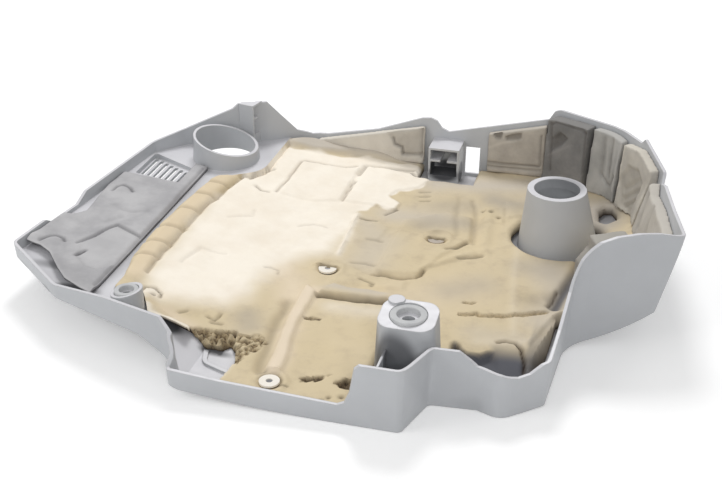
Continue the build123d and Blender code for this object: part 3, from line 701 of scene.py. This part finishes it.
def leftPadShape(x, y):
    # the shelf's plane plus a pressed panel, two domes under crescent folds, and a front edge that lifts off;
    # painted shade in the grooves and by the front, a painted highlight along the lifted edge
    skin = {"lift": noiseSum(x, y, leftPad["waves"]), "soot": np.zeros_like(x)}
    panel = smoothStep(-areaDistance(x, y, leftPad["panel"]), *leftPad["panelRun"])
    skin["lift"] -= leftPad["panelDepth"] * panel
    raiseSpots(x, y, skin, leftPad["domes"])
    pressLines(x, y, skin, leftPad["grooves"])
    for a, b, width, dark in leftPad["shades"]:
        atLeast(skin, "soot", dark * bell(segmentDistance(x, y, a, b), width))
    lift = skin.pop("lift")
    inside = np.clip(-leftPadEdge(x, y), 0, leftPad["rounding"])
    raised = 1 - smoothStep(lineDistance(x, y, leftPad["frontEdge"]), 0, leftPad["frontRun"])
    lift -= leftPad["edgeDrop"] * (1 - inside / leftPad["rounding"]) ** 2 * (1 - raised)
    corner = smoothStep(-x, *leftPad["cornerLeft"]) * smoothStep(y, *leftPad["cornerFront"])
    corner = corner * (1 - smoothStep(y, *leftPad["cornerBack"]))
    lift += leftPad["frontRise"] * raised + leftPad["cornerRise"] * corner
    bottom = shelfHeight(x, leftPad["low"]) + leftPad["frontGap"] * raised
    top = np.maximum(shelfHeight(x, leftPad["high"]) + lift, bottom + leftPad["thinnest"])
    # painted highlight along the lifted front edge
    worn = leftPad["frontPale"] * bell(inside, leftPad["frontWorn"]) * raised
    skin["pale"] = np.maximum(leftPad["panelPale"] * panel, worn)
    return top, bottom, skin


# wall pads, drawn on the face as distance along the wall from the start of "line", and height, mm
# lines: path, half width, depth, darkness; areas: corners, depth, slope, darkness; the darkness is painted
# shade
# lights: path, half width, amount
wallPads = {
    "back_wall_pad_left": {
        "line": ((12, 218), (-104, 218)), "skin": "#C6BFB4", "dust": "#DAD4C9",
        "lines": [([(2, 54), (2, 22)], 1.6, 1.6, 0.5), ([(1, 24), (22, 23)], 1.6, 1.6, 0.5),
                  ([(22, 23), (23, 30), (31, 33), (33, 39)], 1.6, 2.0, 0.7)],
        "areas": [([(0, 60), (0, 22), (21, 22), (24, 31), (32, 34), (40, 44)], 0.8, 3.0, 0.25)],
        "lights": [([(36, 38), (60, 34), (100, 24)], 9.0, 0.5)]},
    "back_wall_pad_mid": {
        "line": ((138, 218), (79, 218)), "skin": "#A59E95", "dust": "#BFB8AD",
        "lines": [([(66, 55), (62, 51), (63, 45), (67, 41)], 1.8, 2.5, 0.6),
                  ([(68, 24), (35, 24), (5, 25)], 1.2, 1.8, 0.55),
                  ([(68, 20), (34, 20), (3, 21)], 1.2, 1.6, 0.4), ([(5, 58), (4, 26)], 1.0, 1.4, 0.45)],
        "areas": [([(44, 56), (47, 60), (52, 59), (54, 54), (51, 50), (46, 50)], 2.6, 1.6, 0.62),
                  ([(42, 54), (25, 59), (25, 53), (33, 50), (40, 50)], 2.2, 2.0, 0.5)],
        "lights": [([(58, 40), (46, 46), (31, 51)], 1.6, 0.9), ([(60, 22), (6, 23)], 1.0, 0.5)]},
    "back_wall_pad_right": {
        "line": ((186, 199), (146, 221)), "skin": "#737271", "dust": "#8A8886",
        "lines": [([(42, 74), (38, 77), (5, 78), (2, 74)], 1.1, 1.2, 0.5),
                  ([(2, 76), (0, 34)], 1.1, 1.2, 0.5), ([(42, 76), (38, 26)], 1.1, 1.2, 0.5)],
        "areas": [([(40, 60), (31, 68), (22, 64), (29, 55), (39, 47)], 3.4, 4.0, 0.45)],
        "lights": [([(41, 42), (20, 57)], 1.2, 0.9)]},
    "corner_wall_pad": {
        "line": ((219, 168), (190, 197)), "skin": "#9C9B98", "dust": "#B9B7B3",
        "lines": [([(16, 76), (15, 40)], 2.0, 1.4, 0.3), ([(28, 74), (26, 34)], 2.4, 1.2, 0.25),
                  ([(26, 37), (17, 31), (11, 31), (5, 44)], 1.6, 2.0, 0.35)],
        "areas": [],
        "lights": [([(23, 75), (20, 50), (20, 30)], 1.8, 0.7), ([(11, 77), (9, 54), (10, 34)], 1.8, 0.7),
                   ([(1, 80), (3, 30)], 1.4, 0.9)]},
    "right_back_pad": {
        "line": ((251, 107.5), (223, 161)), "skin": "#BDB8B0", "dust": "#D3CDC1",
        "lines": [([(48, 40), (20, 63)], 2.4, 1.6, 0.2), ([(45, 32), (18, 53)], 2.4, 1.6, 0.2),
                  ([(40, 25), (20, 42)], 2.0, 1.2, 0.15)],
        "areas": [([(60, 45), (45, 66), (24, 71), (13, 63), (23, 36), (27, 25), (48, 24)], 2.6, 5.0, 0.18)],
        "lights": [([(30, 27), (44, 24)], 4.0, 0.6), ([(58, 40), (58, 76)], 1.6, 0.6)]},
    "right_wall_pad": {
        "line": ((269, -24), (254.7, 96)), "skin": "#B4AFA8", "dust": "#C6C1B8",
        "lines": [([(100, 40), (108, 66)], 4.0, 1.5, 0.12), ([(60, 40), (70, 74)], 5.0, 1.4, 0.12)],
        "areas": [], "lights": [([(0, 70), (120, 60)], 8.0, 0.3)]},
    "right_end_pad": {
        "line": ((204, -77), (240, -61)), "skin": "#8D8984", "dust": "#ADA9A1",
        "lines": [], "areas": [], "lights": []},
}
wallFoam = {
    # colour of the painted shade in the grooves and sunken patches
    "soot": "#4F4A45",
    # modifiers that even out the mesh, and their settings in m
    "modifiers": {
        "WELD": {"merge_threshold": 0.01 * mm},
        "REMESH": {"mode": "VOXEL", "voxel_size": 1.5 * mm, "use_smooth_shade": True},
        "SMOOTH": {"factor": 0.5, "iterations": 3},
    },
    "waves": [(0.5, 16, 0), (0.25, 6, 1)],  # seeds are added to the length of the node's name
    "areaWaves": [(0.6, 5, 41)], "facing": (0.2, 0.7), "dusty": 0.8, "dustyRun": (0.4, 0.8),
}


def wallPadPiece(node, settings):
    # a copy of the plain solid, remeshed evenly and relaxed, then pushed in along the wall's normal
    mesh = nodes[node].data.copy()
    piece = newObject(node + "_skin", mesh)
    for kind, values in wallFoam["modifiers"].items():
        modifier = piece.modifiers.new(kind, kind)
        for key, value in values.items():
            setattr(modifier, key, value)
    graph = bpy.context.evaluated_depsgraph_get()
    even = bpy.data.meshes.new_from_object(piece.evaluated_get(graph))
    piece.modifiers.clear()
    piece.data = even
    even.name = node + "_skin"
    bpy.data.meshes.remove(mesh)
    even.materials.clear()
    points, normals = np.empty(3 * len(even.vertices)), np.empty(3 * len(even.vertices))
    even.vertices.foreach_get("co", points)
    even.vertex_normals.foreach_get("vector", normals)
    points, normals = points.reshape(-1, 3) / mm - planShift, normals.reshape(-1, 3)
    (ax, ay), (bx, by) = settings["line"]
    length = math.hypot(bx - ax, by - ay)
    along = np.array([(bx - ax) / length, (by - ay) / length])
    inward = np.array([-along[1], along[0]])
    share = (points[:, 0] - ax) * along[0] + (points[:, 1] - ay) * along[1]
    height = points[:, 2]
    facing = smoothStep(normals[:, 0] * inward[0] + normals[:, 1] * inward[1], *wallFoam["facing"])
    waves = [(rise, size, len(node) + seed) for rise, size, seed in wallFoam["waves"]]
    skin = {key: np.zeros_like(share) for key in ("soot", "pale")}
    skin["lift"] = noiseSum(share, height, waves)
    pressLines(share, height, skin, settings["lines"])
    for area, depth, slope, dark in settings["areas"]:
        gap = -areaDistance(share, height, area) + noiseSum(share, height, wallFoam["areaWaves"])
        mask = smoothStep(gap, -slope / 2, slope / 2)
        skin["lift"] -= depth * mask
        atLeast(skin, "soot", dark * mask)
    for path, width, amount in settings["lights"]:
        atLeast(skin, "pale", amount * bell(lineDistance(share, height, path), width))
    points[:, :2] += (facing * skin["lift"])[:, None] * inward
    even.vertices.foreach_set("co", ((points + planShift) * mm).ravel())
    upper = wallFoam["dusty"] * smoothStep(normals[:, 2], *wallFoam["dustyRun"])  # dust on the upper edges
    storeValues(even, {"soot": skin["soot"] * facing, "pale": np.maximum(skin["pale"] * facing, upper)})
    even.update()
    return piece


mixFirst, mixSecond, mixResult = 6, 7, 2  # a Mix node's two colours, and the colour that it gives
rangeEnds = ("From Min", "From Max", "To Min", "To Max")


def layColours(tree, base, layers):
    # each colour over what lies below it by its mask; a colour is a hex text or what a node gives
    for mask, colour in layers:
        values, links = {}, {"Factor": mask}
        for socket, tone in ((mixFirst, base), (mixSecond, colour)):
            if isinstance(tone, str):
                values[socket] = linearColour(tone)
            else:
                links[socket] = tone
        base = addNode(tree, "Mix", values, links, mixResult, data_type="RGBA")
    return base


# moulded glass-filled nylon: satin grey, fine spark-eroded grain, dust on top, painted highlight on the
# edges, painted shade in hollows
shellLook = {
    # the edge colour is a painted highlight, and the colour after it is painted shade
    "body": "#BBBDC0", "dust": "#D3D2D6", "edge": "#DADAD8", "grime": "#4B4C50",
    "edgeRadius": 1.1, "edgeRays": 6, "surface": {"IOR": 1.5}, "grainStrength": 0.1, "grainDepth": 0.3,
    # size in mm, detail, roughness
    "noises": {"cloud": (70, 4.0, 0.6), "fine": (9, 5.0, 0.65), "grain": (0.9, 2.0, 0.5)},
    "ranges": {"up": (0.3, 0.95, 0.0, 0.9), "worn": (0.99, 0.8, 0.0, 0.7), "mottle": (0.3, 0.7, 0.94, 1.04),
               "rough": (0.3, 0.7, 0.36, 0.48)},
    # painted shade in hollows, gaps and holes: middle, half sizes, amount, softness of the edge
    "grimy": [
        ((-113, -171, 27), (30, 11, 9), 0.95, 0.25), ((-132, -158, 33), (12, 12, 9), 0.97, 0.25),
        ((-67, -177, 10), (15, 5, 4), 0.85, 0.4), ((-180, -30, 33), (8, 105, 5), 0.26, 0.3),
        ((-152, -152, 27), (9, 12, 12), 0.75, 0.3), ((140, -160, 6), (40, 24, 16), 0.6, 0.3),
        ((-10, -213, 14.5), (2.6, 2.6, 3), 0.95, 0.3), ((-18, -36, 15.5), (2.6, 2.6, 3), 0.5, 0.3),
        ((62, 47, 14), (2.6, 2.6, 3), 0.5, 0.3), ((211, 150, 8), (14, 16, 12), 0.6, 0.3),
        ((128, 88, 5), (7, 30, 12), 0.8, 0.3), ((192, -40, 14), (7, 40, 16), 0.7, 0.3),
        ((37, 203, 13), (26, 13.5, 14), 0.97, 0.1), ((60, -172, 28), (11, 27, 34), 0.7, 0.3),
        ((77, -192, 26), (25, 8, 36), 0.78, 0.2), ((170, 92, 80), (22, 22, 40), 0.55, 0.25),
        ((-240, -122, 30), (34, 9, 4.5), 0.7, 0.3), ((-205, -153, 30), (26, 8, 4.5), 0.8, 0.3),
    ],
}


def mouldedNylon(name, look):
    # body colour under dust, a painted highlight on the edges and painted shade in hollows, mottled by clouds
    # and roughened by a finer noise
    material, tree, noises = noisyMaterial(name, look["noises"])
    rounded = addNode(tree, "Bevel", {"Radius": look["edgeRadius"] * mm}, samples=look["edgeRays"])
    flat = addNode(tree, "NewGeometry", give="Normal")
    facing = addNode(tree, "SeparateXYZ", links={"Vector": flat}, give="Z")
    # an edge is where the rounded normal leaves the flat one, and there it gets a painted highlight
    same = addNode(tree, "VectorMath", links={0: rounded, 1: flat}, give="Value", operation="DOT_PRODUCT")
    sources = {"up": facing, "worn": same, "mottle": noises["cloud"], "rough": noises["fine"]}
    ranges = {}
    for key, ends in look["ranges"].items():
        ranges[key] = addNode(tree, "MapRange", dict(zip(rangeEnds, ends)), {"Value": sources[key]})
    layers = [(ranges["up"], look["dust"]), (ranges["worn"], look["edge"])]
    # painted shade: one soft ellipsoid for each hollow, gap or hole
    for middle, half, amount, soft in look["grimy"]:
        values = {"Location": (np.array(middle) + planShift) * mm, "Scale": np.array(half) * mm}
        local = addNode(tree, "Mapping", values, {"Vector": noises["place"]}, vector_type="TEXTURE")
        reach = addNode(tree, "VectorMath", links={0: local}, give="Value", operation="LENGTH")
        values = dict(zip(rangeEnds, (1 + soft, 1 - soft, 0.0, amount)))
        mask = addNode(tree, "MapRange", values, {"Value": reach}, interpolation_type="SMOOTHSTEP")
        layers.append((mask, look["grime"]))
    links = {0: layColours(tree, look["body"], layers), "Scale": ranges["mottle"]}
    shade = addNode(tree, "VectorMath", links=links, operation="SCALE")
    values = {"Strength": look["grainStrength"], "Distance": look["grainDepth"] * mm}
    bump = addNode(tree, "Bump", values, {"Height": noises["grain"], "Normal": rounded})
    closeMaterial(tree, look["surface"], {"Base Color": shade, "Roughness": ranges["rough"], "Normal": bump})
    return material


# skinned polyurethane foam: matt, dusty cream to tan skin, brown open cells where it is torn, painted shade
# in creases, hollows and underneath
tanLook = {
    "tan": "#DCCDB0", "ochre": "#D2C19D", "grey": "#CDC4B6", "dusk": "#B0A799", "pink": "#EADAC3",
    "yellow": "#DECDAB", "pale": "#F3EADB", "cream": "#FBF3E5", "oldCream": "#F4EADA", "roll": "#E3D1B4",
    # slate at the end of this line and the two colours on the next line are painted shade: in hollows and
    # gaps, in creases and pits, and on the sides and underside
    "stain": "#BBAB92", "tornDark": "#57493A", "tornLight": "#BBA682", "bits": "#E2D2B0", "slate": "#63646A",
    "soot": "#4A4038", "under": "#453B33",
    "surface": {"Roughness": 0.92, "IOR": 1.4, "Specular IOR Level": 0.25},
    # size in mm, detail, roughness; torn cells are coarser than real ones, so that they show
    "noises": {"skin": (45, 5.0, 0.6), "stain": (16, 5.0, 0.65), "cream": (34, 5.0, 0.6),
               "torn": (2.2, 5.0, 0.7)},
    "ranges": {"stain": (0.5, 0.75, 0.0, 0.6), "cream": (0.4, 0.68, 0.0, 1.0),
               "torn": (0.35, 0.65, 0.0, 1.0)},
    "grainRange": (0.0, 1.0, 0.12, 0.9), "grainDepth": 1.0,  # grain from whole to torn skin
    "twoTones": {"skin": ("tan", "ochre"), "cream": ("cream", "oldCream"), "torn": ("tornDark", "tornLight")},
    # from the skin upwards
    "layers": ["stain", "grey", "yellow", "pink", "dusk", "cream", "roll", "pale", "torn", "slate", "soot",
               "under"],
}


def tanFoamSkin(name, look):
    # a two-tone skin, then each layer over it by its mask; dust and torn cells have two tones of their own
    material, tree, noises = noisyMaterial(name, look["noises"])
    shares, tones = dict(noises), {}
    for key, ends in look["ranges"].items():
        shares[key] = addNode(tree, "MapRange", dict(zip(rangeEnds, ends)), {"Value": noises[key]})
    for key, (first, second) in look["twoTones"].items():
        tones[key] = layColours(tree, look[first], [(shares[key], look[second])])
    masks = {"stain": shares["stain"]}
    for key in ["bits"] + look["layers"][1:]:  # the stain alone is a noise, not an attribute
        masks[key] = addNode(tree, "Attribute", give="Fac", attribute_name=key)
    tones["torn"] = layColours(tree, tones["torn"], [(masks["bits"], look["bits"])])
    layers = [(masks[key], tones[key] if key in tones else look[key]) for key in look["layers"]]
    tint = layColours(tree, tones["skin"], layers)
    strength = addNode(tree, "MapRange", dict(zip(rangeEnds, look["grainRange"])), {"Value": masks["torn"]})
    links = {"Height": noises["torn"], "Strength": strength}
    bump = addNode(tree, "Bump", {"Distance": look["grainDepth"] * mm}, links)
    closeMaterial(tree, look["surface"], {"Base Color": tint, "Normal": bump})
    return material


# grey skinned foam, also rubber and white nylon: matt with faint clouding, painted shade in folds and
# underneath, and pale places: dust, paler patches and painted highlights
greyLook = {
    "surface": {"Roughness": 0.85, "IOR": 1.4, "Specular IOR Level": 0.3},
    "grainStrength": 0.15, "grainDepth": 0.8,
    # size in mm, detail, roughness
    "noises": {"cloud": (30, 5.0, 0.6), "cells": (1.8, 3.0, 0.6)},
    "cloudRange": (0.38, 0.66, 0.0, 0.9),
}


def greyFoamSkin(name, skin, pale, soot):
    # the skin clouded with its pale colour, then pale places, some of them painted highlights, and painted
    # shade by their attributes, the underside too
    material, tree, noises = noisyMaterial(name, greyLook["noises"])
    values = dict(zip(rangeEnds, greyLook["cloudRange"]))
    layers = [(addNode(tree, "MapRange", values, {"Value": noises["cloud"]}), pale)]
    for key, colour in (("pale", pale), ("soot", soot), ("under", soot)):
        layers.append((addNode(tree, "Attribute", give="Fac", attribute_name=key), colour))
    values = {"Strength": greyLook["grainStrength"], "Distance": greyLook["grainDepth"] * mm}
    bump = addNode(tree, "Bump", values, {"Height": noises["cells"]})
    links = {"Base Color": layColours(tree, skin, layers), "Normal": bump}
    closeMaterial(tree, greyLook["surface"], links)
    return material


def seat(piece, node, material):
    # the piece takes its material and its body, and stands in for its node, which is hidden
    piece.data.materials.append(material)
    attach(piece, "root")
    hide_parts(node)


piece = padMesh("main_foam_skin", mainFoam["step"], mainFoam["limits"], mainFoamEdge, mainFoamShape)
seat(piece, "main_foam_pad", tanFoamSkin("skinnedTanFoam", tanLook))
print("main foam:", len(piece.data.polygons), "faces")

piece = padMesh("left_foam_skin", leftPad["step"], leftPad["limits"], leftPadEdge, leftPadShape)
material = greyFoamSkin("skinnedGreyFoam", leftPad["skin"], leftPad["pale"], leftPad["soot"])
seat(piece, "left_foam_pad", material)
print("left foam:", len(piece.data.polygons), "faces")

for node, settings in wallPads.items():
    piece = wallPadPiece(node, settings)
    material = greyFoamSkin("skinnedWallFoam_" + node, settings["skin"], settings["dust"], wallFoam["soot"])
    seat(piece, node, material)
    print(node, len(piece.data.polygons), "faces")

# rings and washers: skin, pale and dark colours
fittings = {
    "mouldedGreyRubber": (("#BFC0C1", "#CDCECE", "#6A6A6A"), ("front_grommet", "left_grommet")),
    "mouldedWhiteNylon": (("#EFE8DC", "#F6F1E8", "#8A8378"), ("retaining_washer_1", "retaining_washer_2")),
    # washer 3 is a darker copy of the white nylon, painted shade where its hood covers it
    "soiledWhiteNylon": (("#B5ABA0", "#C3BAAF", "#8A8378"), ("retaining_washer_3",)),
}
finishes = {"cover_shell": mouldedNylon("mouldedGreyNylon", shellLook)}
for name, (colours, fitted) in fittings.items():
    finishes.update(dict.fromkeys(fitted, greyFoamSkin(name, *colours)))
for node, material in finishes.items():
    for slot in nodes[node].material_slots:
        slot.material = material
print("materials set")

# white floor that keeps the shadow, m
floorSet = {"half": 6.0, "drop": -0.0004, "paint": "#F4F4F4", "glow": 0.22}
half, drop = floorSet["half"], floorSet["drop"]
floorMesh = bpy.data.meshes.new("floor")
corners = [(-half, -half, drop), (half, -half, drop), (half, half, drop), (-half, half, drop)]
floorMesh.from_pydata(corners, [], [(0, 1, 2, 3)])
floor = newObject("floor", floorMesh)
white = (1, 1, 1, 1)


def seenDirectly(tree):
    # 1 for rays from the camera and for mirrored or refracted ones
    seen = addNode(tree, "LightPath", give="Is Camera Ray")
    ray = seen.node.outputs
    for other in ("Is Glossy Ray", "Is Transmission Ray"):
        seen = addNode(tree, "Math", links={0: seen, 1: ray[other]}, operation="MAXIMUM")
    return seen


floorPaint, tree = newMaterial("paintedFloor")
lift = addNode(tree, "Math", {1: floorSet["glow"]}, {0: seenDirectly(tree)}, operation="MULTIPLY")
glow = addNode(tree, "Emission", {"Color": white}, {"Strength": lift})
matt = addNode(tree, "BsdfDiffuse", {"Color": linearColour(floorSet["paint"])})
both = addNode(tree, "AddShader", links={0: glow, 1: matt})
addNode(tree, "OutputMaterial", links={"Surface": both})
floorMesh.materials.append(floorPaint)

# soft studio light: an even white room, lamps on the left and by the camera, a wide one above and behind
lightSet = {
    "room": 0.5, "seen": 1.0,
    # place in m, width in m, power in W
    "lamps": {"keyLamp": ((-1.1, -0.9, 1.0), 0.8, 5.2), "frontLamp": ((0.5, -1.3, 0.8), 0.3, 3.8),
              "topLamp": ((-0.3, 1.1, 1.65), 0.7, 17.0)},
}
world = bpy.data.worlds.new("whiteRoom")
bpy.context.scene.world = world
world.use_nodes = True
tree = world.node_tree
tree.nodes.clear()
values = {"To Min": lightSet["room"], "To Max": lightSet["seen"]}
level = addNode(tree, "MapRange", values, {"Value": seenDirectly(tree)})
back = addNode(tree, "Background", {"Color": white}, {"Strength": level})
addNode(tree, "OutputWorld", links={"Surface": back})
for name, (place, size, power) in lightSet["lamps"].items():
    light = bpy.data.lights.new(name, "AREA")
    light.shape, light.size, light.energy = "DISK", size, power
    lamp = newObject(name, light)
    lamp.location = place
    lamp.rotation_euler = (-Vector(place)).to_track_quat("-Z", "Y").to_euler()

# camera at the photograph's place, m: it looks 28 degrees down, from 15.6 degrees to the right of the front
cameraSet = {
    "place": (0.25845, -0.91367, 0.53520), "forward": (-0.23744, 0.85042, -0.46947), "clip": (0.05, 50.0),
    "sensor": 36.0, "focalPixels": 1200, "framePixels": 722,
}
cameraData = bpy.data.cameras.new("camera")
cameraData.sensor_width = cameraSet["sensor"]
cameraData.lens = cameraSet["focalPixels"] / cameraSet["framePixels"] * cameraSet["sensor"]
cameraData.clip_start, cameraData.clip_end = cameraSet["clip"]
camera = newObject("camera", cameraData)
camera.location = cameraSet["place"]
camera.rotation_euler = Vector(cameraSet["forward"]).to_track_quat("-Z", "Y").to_euler()
bpy.context.scene.camera = camera
bpy.context.scene.view_settings.view_transform = "Standard"
print("stage set")
